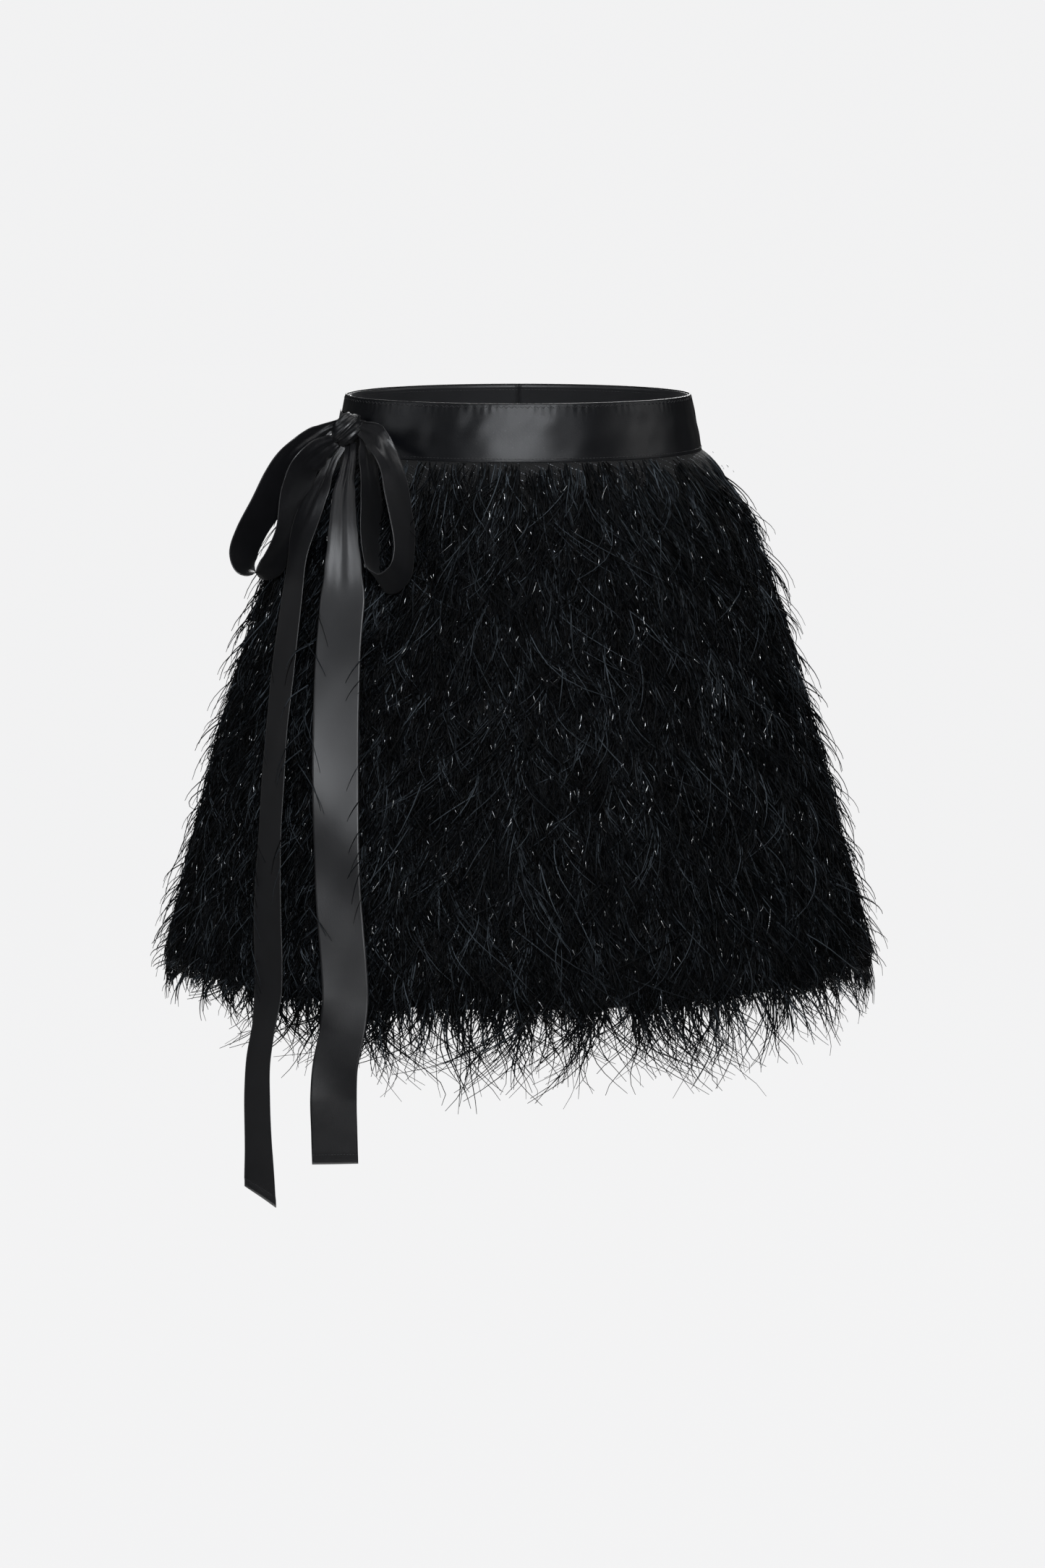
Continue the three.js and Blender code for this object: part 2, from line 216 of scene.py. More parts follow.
class Nodes:
    """Short calls for building one material's node tree."""

    def __init__(self, name):
        self.material = bpy.data.materials.new(name)
        self.material.use_nodes = True
        self.tree = self.material.node_tree
        self.shader = self.tree.nodes["Principled BSDF"]

    def add(self, kind, **values):
        node = self.tree.nodes.new(kind)
        for key, value in values.items():
            setattr(node, key, value)
        return node

    def link(self, source, target):
        self.tree.links.new(source, target)

    def set(self, **values):
        for key, value in values.items():
            self.shader.inputs[key.replace("_", " ")].default_value = value

    def math(self, operation, a, b=None):
        node = self.add("ShaderNodeMath", operation=operation)
        for socket, value in zip(node.inputs, (a, b)):
            if value is None:
                continue
            if isinstance(value, (int, float)):
                socket.default_value = value
            else:
                self.link(value, socket)
        return node.outputs[0]

    def ramp(self, factor, *stops):
        node = self.add("ShaderNodeValToRGB")
        elements = node.color_ramp.elements
        while len(elements) < len(stops):
            elements.new(0.5)
        for element, (place, colour) in zip(elements, stops):
            element.position = place
            element.color = (*colour, 1)
        self.link(factor, node.inputs[0])
        return node.outputs[0]

    def noise(self, vector, scale, detail=2.0):
        node = self.add("ShaderNodeTexNoise")
        node.inputs["Scale"].default_value = scale
        node.inputs["Detail"].default_value = detail
        self.link(vector, node.inputs["Vector"])
        return node.outputs["Fac"]

    def bump(self, height, distance, strength=1.0):
        node = self.add("ShaderNodeBump")
        node.inputs["Strength"].default_value = strength
        node.inputs["Distance"].default_value = distance
        self.link(height, node.inputs["Height"])
        self.link(node.outputs[0], self.shader.inputs["Normal"])


def cloth_axes(n):
    """The two coordinates, in metres, of a sheet's flat cloth."""
    uv = n.add("ShaderNodeUVMap", uv_map="cloth")
    split = n.add("ShaderNodeSeparateXYZ")
    n.link(uv.outputs[0], split.inputs[0])
    return uv.outputs[0], split.outputs[0], split.outputs[1]


def weave(n, u, v, pitch, lean):
    """Ridges of a leaning satin or twill weave, 0 to 1."""
    along = n.math("ADD", u, n.math("MULTIPLY", v, lean))
    wave = n.math("SINE", n.math("MULTIPLY", along, TAU / pitch))
    return n.math("ADD", n.math("MULTIPLY", wave, 0.5), 0.5)


def satin(name, dark, light, roughness, gloss, sheen, width=None):
    """Satin: a fine leaning weave, slubs of light and shade, a soft sheen, and a ribbon's woven edges."""
    n = Nodes(name)
    uv, u, v = cloth_axes(n)
    slub = n.noise(uv, 1500.0, 3.0)
    patch = n.noise(uv, 45.0, 3.0)
    mixed = n.math("ADD", n.math("MULTIPLY", slub, 0.6), n.math("MULTIPLY", patch, 0.4))
    n.link(n.ramp(mixed, (0.3, dark), (0.7, light)), n.shader.inputs["Base Color"])
    ridges = weave(n, u, v, 0.62 * MM, 0.7)
    cross = weave(n, v, u, 0.5 * MM, -0.2)
    height = n.math("ADD", n.math("MULTIPLY", ridges, 0.5), n.math("MULTIPLY", cross, 0.3))
    height = n.math("ADD", height, n.math("MULTIPLY", slub, 0.9))
    if width:
        from_middle = n.math("ABSOLUTE", n.math("SUBTRACT", u, width / 2))
        edge = n.math("GREATER_THAN", from_middle, width / 2 - SELVEDGE)
        height = n.math("ADD", height, n.math("MULTIPLY", edge, 4.0))
    n.bump(height, 0.06 * MM, 0.75)
    rough = n.math("ADD", n.math("MULTIPLY", slub, 0.16), roughness - 0.08)
    n.link(rough, n.shader.inputs["Roughness"])
    n.set(Specular_IOR_Level=gloss, Sheen_Weight=sheen, Sheen_Roughness=0.4)
    return n.material


def nonwoven(name):
    n = Nodes(name)
    uv, _, _ = cloth_axes(n)
    fibres = n.noise(uv, 900.0, 4.0)
    colour = n.ramp(fibres, (0.35, (0.02, 0.02, 0.02)), (0.7, (0.06, 0.06, 0.06)))
    n.link(colour, n.shader.inputs["Base Color"])
    n.bump(fibres, 0.1 * MM)
    n.set(Roughness=0.9)
    return n.material


def lining_cloth(name):
    n = Nodes(name)
    uv, u, v = cloth_axes(n)
    twill = weave(n, u, v, 0.9 * MM, 1.0)
    haze = n.noise(uv, 60.0, 3.0)
    tone = n.math("ADD", n.math("MULTIPLY", twill, 0.35), n.math("MULTIPLY", haze, 0.65))
    colour = n.ramp(tone, (0.3, (0.006, 0.006, 0.007)), (0.75, (0.02, 0.02, 0.022)))
    n.link(colour, n.shader.inputs["Base Color"])
    n.bump(twill, 0.05 * MM, 0.6)
    n.set(Roughness=0.6, Sheen_Weight=0.15)
    return n.material


def knit_cloth(name):
    """Knitted ground: columns of loops, with leaning rows of a fine metallic thread."""
    n = Nodes(name)
    uv, u, v = cloth_axes(n)
    columns = weave(n, u, v, 2.4 * MM, 0.0)
    courses = weave(n, v, u, 1.8 * MM, 0.25)
    loops = n.math("MULTIPLY", columns, courses)
    row = n.math("GREATER_THAN", weave(n, v, u, 5.4 * MM, 0.3), 0.9)
    dots = n.math("GREATER_THAN", n.noise(uv, 800.0, 1.0), 0.56)
    thread = n.math("MULTIPLY", row, dots)
    ground = n.ramp(loops, (0.2, (0.0008, 0.001, 0.0012)), (0.9, (0.004, 0.0048, 0.0058)))
    mix = n.add("ShaderNodeMix", data_type="RGBA")
    n.link(thread, mix.inputs["Factor"])
    n.link(ground, mix.inputs[6])
    mix.inputs[7].default_value = (0.2, 0.21, 0.23, 1)
    n.link(mix.outputs[2], n.shader.inputs["Base Color"])
    n.link(thread, n.shader.inputs["Metallic"])
    n.link(n.math("SUBTRACT", 0.8, n.math("MULTIPLY", thread, 0.5)), n.shader.inputs["Roughness"])
    n.bump(loops, 0.7 * MM)
    return n.material


def strand_yarn(name, dark, middle, light, roughness):
    """Filaments of yarn: each has its own tone, slightly mottled along its length."""
    n = Nodes(name)
    tone = n.add("ShaderNodeAttribute", attribute_name="tone")
    place = n.add("ShaderNodeNewGeometry")
    mottled = n.noise(place.outputs["Position"], 260.0, 2.0)
    shade = n.math("ADD", n.math("MULTIPLY", tone.outputs["Fac"], 0.8), n.math("MULTIPLY", mottled, 0.3))
    n.link(n.ramp(shade, (0.2, dark), (0.55, middle), (0.95, light)), n.shader.inputs["Base Color"])
    n.set(Roughness=roughness, Specular_IOR_Level=0.12)
    return n.material


def metal_thread(name):
    n = Nodes(name)
    tone = n.add("ShaderNodeAttribute", attribute_name="tone")
    colour = n.ramp(tone.outputs["Fac"], (0.0, (0.75, 0.78, 0.82)), (1.0, (1.0, 1.0, 1.0)))
    n.link(colour, n.shader.inputs["Base Color"])
    n.set(Metallic=1.0, Roughness=0.33)
    return n.material


def sewing_thread(name):
    n = Nodes(name)
    tone = n.add("ShaderNodeAttribute", attribute_name="tone")
    colour = n.ramp(tone.outputs["Fac"], (0.0, (0.01, 0.01, 0.011)), (1.0, (0.035, 0.035, 0.038)))
    n.link(colour, n.shader.inputs["Base Color"])
    n.set(Roughness=0.42, Specular_IOR_Level=0.6)
    return n.material


RIBBON_WIDTH = 34 * MM
RIBBON_FULL = 35 * MM  # cut width, a little of which the ribbon's crown takes up
RIBBON_THICK = 0.6 * MM
SELVEDGE = 0.8 * MM
RIBBON_HEM = 6 * MM
RIBBON_COLUMNS = 25
RIBBON_MIDDLE = RIBBON_COLUMNS // 2

BAND_SATIN = satin("band_satin", (0.0022, 0.0024, 0.003), (0.0048, 0.0052, 0.0066), 0.31, 0.25, 0.0)
RIBBON_SATIN = satin(
    "ribbon_satin", (0.003, 0.003, 0.0036), (0.0085, 0.0088, 0.0106), 0.36, 0.7, 0.04, RIBBON_FULL
)
# The facing's base tone is the satin's own dark colour, raised lighter than the band's satin as painted
# light on the band's inside.
FACING_SATIN = satin("facing_satin", (0.005, 0.0052, 0.006), (0.013, 0.0135, 0.0155), 0.42, 0.5, 0.1)
INTERLINING = nonwoven("interlining")
LINING = lining_cloth("lining_cloth")
KNIT = knit_cloth("knit_ground")
YARN = strand_yarn(
    "feather_yarn", (0.0002, 0.0003, 0.0004), (0.0038, 0.0049, 0.0064), (0.07, 0.083, 0.096), 0.45
)
METAL = metal_thread("metal_thread")
THREAD = sewing_thread("sewing_thread")

# ---------------------------------------------------------------- cloth panels and waistband


def settle(piece, body, node):
    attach(piece, body)
    if node:
        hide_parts(*([node] if isinstance(node, str) else node))


def panel_grid(span, top, bottom, offset, rows, per_degree=0.7, wobble=0.0, seed=0, gap=SEAM_GAP):
    """Points of a panel from top to bottom between two angles, at an offset from the inner face."""
    start, end = (math.radians(d) for d in span)
    columns = int((span[1] - span[0]) * per_degree) + 1
    z = np.linspace(top, bottom, rows)[:, None]
    share = np.linspace(0, 1, columns)[None, :]
    first = start + gap / 2 / arc_speed(start, z)
    last = end - gap / 2 / arc_speed(end, z)
    angle = first + (last - first) * share
    lift = np.full(np.broadcast(angle, z).shape, float(offset))
    if wobble:
        wave = smooth_noise(angle * 17 + z * 30, seed) * smooth_noise(z * 70 + angle * 3, seed + 1)
        puckers = 0.5 * np.sin(z * 1900) * (np.exp(-share * 30) + np.exp(-(1 - share) * 30))
        lift = lift + wobble * (wave * np.sin(np.pi * share) + puckers)
    return on_skirt(angle, z, lift)


def cloth_panel(name, span, top, bottom, offset, thickness, material, slot, node, rows=20, **shape):
    grid = panel_grid(span, top, bottom, offset + thickness / 2, rows, **shape)
    grid = grid[:, ::-1]
    widths = np.linalg.norm(np.diff(grid, axis=1), axis=-1).sum(1)
    length = float(np.linalg.norm(np.diff(grid[:, 0], axis=0), axis=-1).sum())
    size = (float(widths.max()), length)
    piece = sheet_grid(name, grid, size, material, thickness)
    settle(piece, "skirt", node)
    return piece


def band_section(name, span, seed):
    """Outer satin of the waistband: rolled over at its top edge, and turned in at the seam."""
    start, end = (math.radians(d) for d in span)
    columns = int((span[1] - span[0]) * 1.4) + 1
    share = np.linspace(0, 1, columns)[None, :]
    roll = 0.9 * MM
    inner_face = FACING_THICK + 0.75 * MM
    outer_face = BAND_OUTSIDE - 0.35 * MM
    turn = np.linspace(0, np.pi, 7)[:, None]
    middle = (inner_face + outer_face) / 2
    half = (outer_face - inner_face) / 2
    over_z = -roll + roll * np.sin(turn) * 0.9
    over_offset = middle - half * np.cos(turn)
    face_z = np.linspace(-roll, BAND_BOTTOM + roll, 26)[1:, None]
    face_offset = np.full_like(face_z, outer_face)
    under_turn = np.linspace(0, np.pi / 2, 4)[1:, None]
    under_z = BAND_BOTTOM + roll - roll * np.sin(under_turn)
    under_offset = outer_face - half * (1 - np.cos(under_turn))
    z = np.concatenate([over_z, face_z, under_z])
    offset = np.concatenate([over_offset, face_offset, under_offset])
    first = start + SEAM_GAP / 2 / arc_speed(start, z)
    last = end - SEAM_GAP / 2 / arc_speed(end, z)
    angle = first + (last - first) * share
    on_face = np.clip(np.sin(np.pi * np.clip((z - BAND_BOTTOM) / -BAND_BOTTOM, 0, 1)), 0, 1)
    pucker = smooth_noise(angle * 160, seed) * np.exp(-(((z + 3 * MM) / (4 * MM)) ** 2)) * 0.16 * MM
    soft = smooth_noise(angle * 13 + z * 45, seed + 2) * smooth_noise(z * 90 - angle * 6, seed + 3)
    soft = soft * 0.7 * MM
    to_seam = np.minimum(angle - first, last - angle) * arc_speed(angle, z)
    dip = -0.35 * MM * np.exp(-to_seam / (0.8 * MM))
    grid = on_skirt(angle, z, offset + pucker + (soft + 0.2 * MM) * on_face + dip)[:, ::-1]
    widths = np.linalg.norm(np.diff(grid, axis=1), axis=-1).sum(1)
    size = (float(widths.max()), float(np.linalg.norm(np.diff(grid[:, 0], axis=0), axis=-1).sum()))
    piece = sheet_grid(name, grid, size, BAND_SATIN, 0.5 * MM)
    settle(piece, "skirt", "waistband_satin_" + name.split("satin_")[1])


SKIRT_TOP = BAND_BOTTOM - SEAM_GAP
lining_end = float(node_box("lining_front")[0][2])

for number, (section, span) in enumerate(SECTIONS.items()):
    band_section("band_satin_" + section, span, 11 + number)
    cloth_panel(
        "band_facing_" + section, span, -0.9 * MM, BAND_BOTTOM + 0.3 * MM, 0, FACING_THICK,
        FACING_SATIN, "facing_satin", "waistband_facing_" + section, wobble=0.25 * MM, seed=31 + number,
    )
    cloth_panel(
        "band_interlining_" + section, span, -2.5 * MM, BAND_BOTTOM + 1.5 * MM, 1.45 * MM, 0.35 * MM,
        INTERLINING, "interlining", "waistband_interlining_" + section, rows=8, gap=-0.4 * MM,
    )
    cloth_panel(
        "lining_panel_" + section, span, SKIRT_TOP, lining_end, -0.1 * MM, 0.5 * MM,
        LINING, "lining", "lining_" + section, rows=60, wobble=0.3 * MM, seed=51 + number,
    )
    cloth_panel(
        "knit_panel_" + section, span, SKIRT_TOP, HEM, BASE_FACE, BASE_OUTSIDE - BASE_FACE,
        KNIT, "knit", "base_cloth_" + section, rows=90,
    )

cloth_panel(
    "underlap_band", UNDERLAP, -1.0 * MM, BAND_BOTTOM, -2.1 * MM, 1.6 * MM,
    FACING_SATIN, "band_satin", "underlap_waistband", rows=14,
)
cloth_panel(
    "underlap_panel", UNDERLAP, SKIRT_TOP, lining_end, -2.1 * MM, 1.4 * MM,
    KNIT, "knit", "underlap_skirt", rows=50,
)

# ---------------------------------------------------------------- many small strands in one mesh


def strand_mesh(name, paths, radii, tones, material, sides=3):
    """Thin closed tubes, one along each path. paths is (strands, rings, 3) and radii (strands, rings)."""
    count, rings = paths.shape[:2]
    along = unit(np.gradient(paths, axis=1))
    helper = np.where(np.abs(along[..., 2:3]) > 0.9, [1.0, 0.0, 0.0], [0.0, 0.0, 1.0])
    side = unit(np.cross(along, helper))
    up = np.cross(side, along)
    turn = np.arange(sides) * TAU / sides
    circle = side[:, :, None] * np.cos(turn)[:, None] + up[:, :, None] * np.sin(turn)[:, None]
    points = paths[:, :, None] + circle * radii[:, :, None, None]
    ring_points = rings * sides
    points = points.reshape(count, ring_points, 3)
    k = np.arange(rings - 1)[:, None] * sides
    i = np.arange(sides)[None, :]
    j = (i + 1) % sides
    tube = np.stack([k + i, k + j, k + sides + j, k + sides + i], -1).reshape(-1, 4)
    quads = (tube[None] + (np.arange(count) * ring_points)[:, None, None]).reshape(-1, 4)
    base = np.arange(count)[:, None] * ring_points
    if sides == 3:
        start = base + np.array([[2, 1, 0]])
        tip = base + (rings - 1) * sides + np.array([[0, 1, 2]])
        caps = np.concatenate([start, tip])
    else:
        start = base + np.array([[3, 2, 1, 0]])
        tip = base + (rings - 1) * sides + np.array([[0, 1, 2, 3]])
        quads = np.concatenate([quads, start, tip])
        caps = np.zeros((0, 3), int)
    obj = fast_object(name, points.reshape(-1, 3), quads, caps, material)
    tone = obj.data.attributes.new("tone", "FLOAT", "POINT")
    tone.data.foreach_set("value", np.repeat(tones, ring_points).astype(np.float32))
    cells = int(math.ceil(math.sqrt(count)))
    vertex = np.arange(count * ring_points)
    strand, spot = vertex // ring_points, vertex % ring_points
    u = (strand % cells + 0.15 + 0.7 * (spot % sides) / (sides - 1)) / cells
    v = (strand // cells + 0.1 + 0.8 * (spot // sides) / (rings - 1)) / cells
    layer = obj.data.uv_layers.new(name="OFBake")
    corner = np.zeros(len(obj.data.loops), np.int32)
    obj.data.loops.foreach_get("vertex_index", corner)
    layer.data.foreach_set("uv", np.stack([u, v], -1)[corner].astype(np.float32).ravel())
    return obj


def flow(angle, z, length, drift, bend, lift, fall, kink, phase, rings, start_offset):
    """Paths of strands that leave the cloth, run down the skirt and bend as they go."""
    s = np.linspace(0, 1, rings)[None, :]
    col = lambda values: np.asarray(values)[:, None]
    sway = col(kink) * np.sin(s * 5 + col(phase)) * s * 0.5
    across = col(length) * (col(drift) * s + col(bend) * s**2 + sway)
    down = col(length) * (s - 0.12 * np.abs(col(bend)) * s**2)
    height = col(z) - down * 0.95
    rise = (1 - (1 - s) ** 2.2) * (1 - col(fall) * s**2)
    offset = start_offset + col(lift) * rise
    turned = col(angle) + across / arc_speed(col(angle), col(z))
    return on_skirt(turned, height, offset)


# ---------------------------------------------------------------- pile, fringe and metallic glints

PILE_COUNT = 15500  # tufts
PER_TUFT, PER_FRINGE_TUFT = 4, 6
FRINGE_TUFTS = 430
GLINT_COUNT = 1700
SECTORS, FRINGE_SECTORS = 4, 2  # meshes to each back section of the skirt, with twice as many in front


def heights_by_area(rng, count, top, bottom):
    """Heights spread evenly over the flared surface."""
    z = np.linspace(top, bottom, 200)
    a, b = girth(z)
    weight = np.cumsum(a + b)
    return np.interp(rng.uniform(0, 1, count), (weight - weight[0]) / (weight[-1] - weight[0]), z)


def angles_by_arc(rng, count, z):
    """Angles spread evenly round the ellipse."""
    t = np.linspace(0, TAU, 721)
    run = np.concatenate([[0], np.cumsum(arc_speed((t[1:] + t[:-1]) / 2, np.full(720, HEM)))])
    return np.interp(rng.uniform(0, 1, count) * run[-1], run, t)


def tuft_strands(seed, tufts, per, top, bottom, length, lift, drift, bend, spread, scatter, kink):
    """Numbers of strands in tufts: the ones of a tuft start together and share a direction."""
    rng = np.random.default_rng(seed)
    z = heights_by_area(rng, tufts, top, bottom)
    angle = angles_by_arc(rng, tufts, z)
    field = 0.12 * smooth_noise(angle * 6 + z * 26, 5) + 0.1 * smooth_noise(z * 34 - angle * 4, 6)
    field = field + 0.1 * np.cos(angle) * np.abs(np.cos(angle))
    tuft = {
        "angle": angle,
        "z": z,
        "length": rng.uniform(*length, tufts),
        "drift": field + rng.normal(0, drift, tufts) * (1 + 1.8 * (rng.uniform(0, 1, tufts) < 0.1)),
        "bend": rng.normal(0, bend, tufts),
        "lift": rng.uniform(*lift, tufts),
        "tone": np.clip(rng.beta(1.6, 3.2, tufts), 0, 1),
    }
    many = {key: np.repeat(value, per) for key, value in tuft.items()}
    total = tufts * per
    many["angle"] = many["angle"] + rng.normal(0, spread, total) / arc_speed(many["angle"], many["z"])
    many["z"] = many["z"] + rng.normal(0, spread, total)
    many["z"] = np.minimum(many["z"], top)
    many["length"] = many["length"] * rng.uniform(0.62, 1.1, total)
    many["drift"] = many["drift"] + rng.normal(0, scatter, total)
    many["bend"] = many["bend"] + rng.normal(0, scatter, total)
    many["lift"] = many["lift"] * rng.uniform(0.6, 1.2, total)
    many["tone"] = np.clip(many["tone"] + rng.normal(0, 0.16, total), 0, 1)
    many["fall"] = rng.uniform(0.1, 0.55, total)
    many["kink"] = rng.normal(0, kink, total)
    many["phase"] = rng.uniform(0, TAU, total)
    return many, rng


def strand_radii(rng, count, rings, root, tip):
    s = np.linspace(0, 1, rings)[None, :]
    thick = rng.uniform(0.75, 1.25, count)[:, None]
    return thick * (root + (tip - root) * s**1.3)


def add_strands(prefix, node_prefix, many, rng, rings, root, tip, start_offset, sectors):
    """Builds strands as meshes, a few to each section, that stand for that section's solid."""
    paths = flow(
        many["angle"], many["z"], many["length"], many["drift"], many["bend"], many["lift"],
        many["fall"], many["kink"], many["phase"], rings, start_offset,
    )
    radii = strand_radii(rng, len(paths), rings, root, tip)
    degrees = np.mod(np.degrees(many["angle"]), 360.0)
    for section, (low, high) in SECTIONS.items():
        parts = sectors * 2 if section == FRONT else sectors
        edges = np.linspace(low, high, parts + 1)
        for k in range(parts):
            chosen = (degrees >= edges[k]) & (degrees < edges[k + 1])
            name = f"{prefix}_{section}_{k + 1}"
            piece = strand_mesh(name, paths[chosen], radii[chosen], many["tone"][chosen], YARN)
            settle(piece, "skirt", node_prefix + section)


def keep_below_ribbons(many):
    """Strands near a hanging tail lie flatter, so that nearly all of them stay under it."""
    middle_z = many["z"] - many["length"] / 2
    drop = np.clip((middle_z - KNOT[2]) / (HEM - KNOT[2]), 0, 1)
    degrees = np.mod(np.degrees(many["angle"]), 360.0)
    middle = TAILS_START + (TAILS_HEM - TAILS_START) * drop**0.8
    half = np.degrees((TAILS_HALF_REACH / arc_speed(np.radians(middle), middle_z)))
    under = np.abs(degrees - middle) < half
    many["lift"] = np.where(under, np.minimum(many["lift"], UNDER_TAIL_LIFT), many["lift"])


def fringe_share(angle):
    """The fringe is longest at the front and back, and shorter at the sides and beside the bow."""
    sides = 0.5 + 0.5 * np.abs(np.sin(angle)) ** 1.2
    beside_bow = 1 - 0.36 * np.exp(-(((np.mod(np.degrees(angle), 360.0) - 212) / 26) ** 2))
    return sides * beside_bow


TAILS_START, TAILS_HEM = 212.0, 240.0  # angles of the middle between the two tails, at the knot and the hem
TAILS_HALF_REACH = 56 * MM
UNDER_TAIL_LIFT = 12 * MM
share_of_work = 1.0
pile, pile_rng = tuft_strands(
    3, int(PILE_COUNT * share_of_work), PER_TUFT, SKIRT_TOP - 0.5 * MM, HEM + 1 * MM,
    length=(28 * MM, 62 * MM), lift=(5 * MM, 13 * MM), drift=0.15, bend=0.26, spread=1.7 * MM,
    scatter=0.1, kink=0.12,
)
near_top = np.clip((SKIRT_TOP - pile["z"]) / (30 * MM), 0, 1)
pile["lift"] *= 0.45 + 0.55 * near_top
stray = pile_rng.uniform(0, 1, len(pile["z"])) < 0.045
stray_lift = pile["lift"] + pile_rng.uniform(3, 14, len(stray)) * MM
pile["lift"] = np.where(stray & (near_top > 0.5), stray_lift, pile["lift"])
pile["drift"] = np.where(stray, pile["drift"] * 2.0, pile["drift"])
pile["fall"] = np.where(stray, 0, pile["fall"])
keep_below_ribbons(pile)
to_hem = pile["z"] - HEM
past_hem = fringe_share(pile["angle"]) * pile_rng.uniform(-4, 17, len(to_hem)) * MM
pile["length"] = np.minimum(pile["length"], np.maximum(to_hem + past_hem, 10 * MM))
add_strands("yarn", "yarn_pile_", pile, pile_rng, 7, 0.55 * MM, 0.2 * MM, BASE_OUTSIDE - 0.4 * MM, SECTORS)

fringe, fringe_rng = tuft_strands(
    4, int(FRINGE_TUFTS * share_of_work), PER_FRINGE_TUFT, HEM + 16 * MM, HEM + 1 * MM,
    length=(38 * MM, 84 * MM), lift=(2 * MM, 11 * MM), drift=0.14, bend=0.42, spread=2.0 * MM,
    scatter=0.11, kink=0.3,
)
fringe["length"] *= fringe_share(fringe["angle"]) * (1 + 0.14 * smooth_noise(fringe["angle"] * 31, 7))
add_strands(
    "fringe", "hem_fringe_", fringe, fringe_rng, 9, 0.62 * MM, 0.2 * MM, BASE_OUTSIDE - 0.6 * MM,
    FRINGE_SECTORS,
)


def glints():
    """Short bright slivers of metallic thread among the yarn."""
    rng = np.random.default_rng(8)
    count = GLINT_COUNT
    z = heights_by_area(rng, count, SKIRT_TOP - 4 * MM, HEM - 6 * MM)
    angle = angles_by_arc(rng, count, z)
    length = rng.gamma(2.0, 1.3 * MM, count) + 0.8 * MM
    length[:6] = 19 * MM
    rings = 4
    paths = flow(
        angle, z, length, rng.normal(0, 0.35, count), rng.normal(0, 0.2, count), 0 * z,
        0 * z, 0 * z, 0 * z, rings, rng.uniform(8 * MM, 15.5 * MM, count)[:, None],
    )
    radii = np.full((count, rings), 0.2 * MM) * rng.uniform(0.7, 1.5, count)[:, None]
    piece = strand_mesh("metallic_glints", paths, radii, rng.uniform(0, 1, count), METAL)
    settle(piece, "skirt", None)


glints()

# ---------------------------------------------------------------- stitches


def stitch_row(name, span, z, offset, pitch, length, lean, slot):
    """A row of short raised stitches round a section of the band."""
    start, end = (math.radians(d) for d in span)
    t = np.linspace(start, end, 400)
    run = np.concatenate([[0], np.cumsum(arc_speed((t[1:] + t[:-1]) / 2, np.full(399, z)) * np.diff(t))])
    count = int(run[-1] / pitch)
    centre = np.interp((np.arange(count) + 0.5) * pitch, run, t)
    flip = np.where(np.arange(count) % 2 == 0, 1.0, -1.0) if lean else np.zeros(count)
    s = np.linspace(-0.5, 0.5, 5)[None, :]
    angle = centre[:, None] + s * length * math.cos(lean) / arc_speed(centre, np.full(count, z))[:, None]
    height = z + s * flip[:, None] * length * math.sin(lean)
    lift = offset + 0.16 * MM * np.cos(np.pi * s)
    paths = on_skirt(angle, height, lift)
    radii = np.full(paths.shape[:2], 0.2 * MM) * (0.55 + 0.45 * np.cos(np.pi * s))
    rng = np.random.default_rng(count)
    piece = strand_mesh(name, paths, radii, rng.uniform(0, 1, count), THREAD, sides=4)
    settle(piece, "skirt", None)


# each row's height, offset, pitch, stitch length, lean and material slot
STITCH_ROWS = {
    "top_stitching_": (-2.4 * MM, BAND_OUTSIDE, 1.9 * MM, 2.3 * MM, 0.7, "band_satin"),
    "seam_stitching_": (BAND_BOTTOM + 2.6 * MM, BAND_OUTSIDE, 2.6 * MM, 1.9 * MM, 0.0, "band_satin"),
    "facing_stitching_": (-4.4 * MM, -0.1 * MM, 2.6 * MM, 1.9 * MM, 0.0, "facing_satin"),
}
for section, span in SECTIONS.items():
    for row, values in STITCH_ROWS.items():
        stitch_row(row + section, span, *values)

# ---------------------------------------------------------------- ribbons, loops and knot

ribbon_grids = {}


def ribbon_piece(name, centre, across, width, pleat, folds, node, body, cut=None):
    """A ribbon along a path. width is its gathered width at each step, and the rest goes into pleats.
    cut lowers its points, for an end that is cut at a slant."""
    steps = len(centre)
    u = np.linspace(-0.5, 0.5, RIBBON_COLUMNS)[None, :]
    along = unit(np.gradient(centre, axis=0))
    across = unit(across - along * (across * along).sum(-1, keepdims=True))
    normal = np.cross(across, along)
    gathered = np.clip(1.06 - width / RIBBON_WIDTH * 1.06, 0, 1)[:, None]
    wander = 0.5 * np.sin(np.linspace(0, 5, steps))[:, None]
    ripple = np.cos(TAU * u * 1.9 + 0.6 + wander) + 0.4 * np.cos(TAU * u * 3.7 + 2 * wander)
    wave = ripple * pleat * gathered**1.3
    depth = wave + folds(u, np.linspace(0, 1, steps)[:, None])
    sideways = across[:, None] * (u[..., None] * width[:, None, None])
    grid = centre[:, None] + sideways + normal[:, None] * depth[..., None]
    if cut is not None:
        grid[..., 2] += cut
    length = float(np.linalg.norm(np.diff(centre, axis=0), axis=-1).sum())
    piece = sheet_grid(name, grid, (RIBBON_FULL, length), RIBBON_SATIN, RIBBON_THICK)
    settle(piece, body, node)
    ribbon_grids[name] = grid
    return piece


